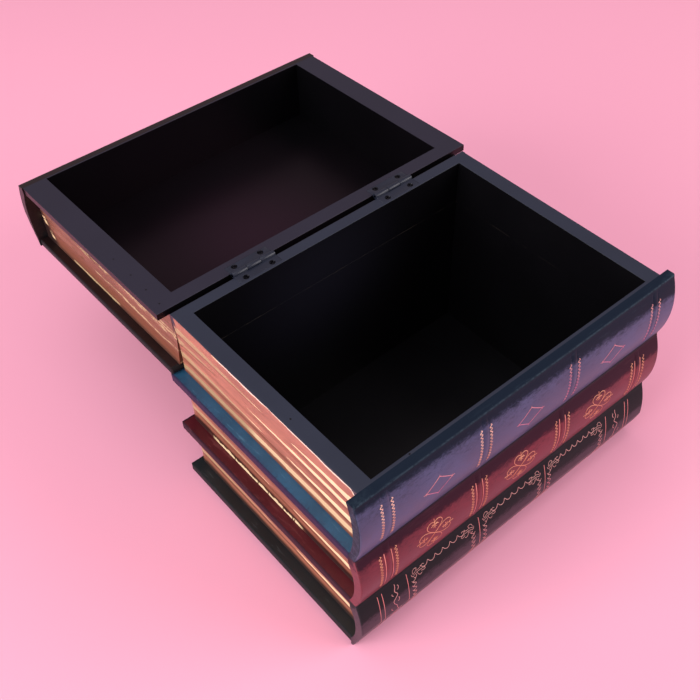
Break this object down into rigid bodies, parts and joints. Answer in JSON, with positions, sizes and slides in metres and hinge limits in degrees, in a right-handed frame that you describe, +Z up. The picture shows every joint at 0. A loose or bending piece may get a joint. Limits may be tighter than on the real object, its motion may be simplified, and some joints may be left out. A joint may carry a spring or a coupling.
{
  "type": "book box",
  "caption": "Hinged keepsake box in the form of a stack of old books, with rounded spines, ribbed page edges and a deep lid that folds open.",
  "frame": {"origin": "on the underside, below the middle of the page block of the base", "axes": "+X runs along the spines, -Y is the spine side and +Y the hinge side, +Z is up; the lid lies open towards +Y"},
  "size_m": [0.307, 0.4365, 0.1846],
  "materials": {
    "wood": "black paint, satin to glossy",
    "rim_board": "black paint with a dull purple cast, satin",
    "black_cover": "glossy coated leather paper",
    "red_cover": "glossy coated leather paper",
    "blue_cover": "glossy coated leather paper",
    "lid_cover": "glossy coated leather paper",
    "pages": "ribbed strip, copper and gold paint, glossy",
    "black_spine": "glossy, with gold tooling",
    "red_spine": "glossy, with gold tooling",
    "blue_spine": "glossy, with gold tooling",
    "lid_spine": "glossy, with gold tooling",
    "hinge": "steel under black paint, glossy",
    "screw": "steel, blackened and scratched"
  },
  "bodies": {
    "base": {"front_lining": "wood", "left_wall": "wood", "right_wall": "wood", "back_wall_lower": "wood", "back_wall_upper": "wood", "bottom_cover": "black_cover", "red_cover_left": "red_cover", "red_cover_right": "red_cover", "red_cover_back": "red_cover", "blue_cover_left": "blue_cover", "blue_cover_right": "blue_cover", "blue_cover_back": "blue_cover", "black_pages_left": "pages", "black_pages_right": "pages", "black_pages_back": "pages", "red_pages_left": "pages", "red_pages_right": "pages", "red_pages_back": "pages", "blue_pages_left": "pages", "blue_pages_right": "pages", "blue_pages_back": "pages", "black_spine": "black_spine", "red_spine": "red_spine", "blue_spine": "blue_spine", "left_hinge_base_leaf": "hinge", "right_hinge_base_leaf": "hinge", "left_hinge_pin": "hinge", "right_hinge_pin": "hinge", "base_screws": "screw"},
    "lid": {"lid_rim_left": "rim_board", "lid_rim_right": "rim_board", "lid_rim_back": "rim_board", "lid_left_wall": "wood", "lid_right_wall": "wood", "lid_back_wall": "wood", "lid_lining": "wood", "lid_pages_left": "pages", "lid_pages_right": "pages", "lid_pages_back": "pages", "lid_cover": "lid_cover", "lid_spine": "lid_spine", "left_hinge_lid_leaf": "hinge", "right_hinge_lid_leaf": "hinge", "lid_screws": "screw"}
  },
  "joints": [
    {"name": "lid_hinge", "type": "hinge", "parent": "base", "child": "lid", "pos_m": [0, 0.10395, 0.1822], "axis": [1, 0, 0], "range_deg": [0, 181.5]}
  ]
}
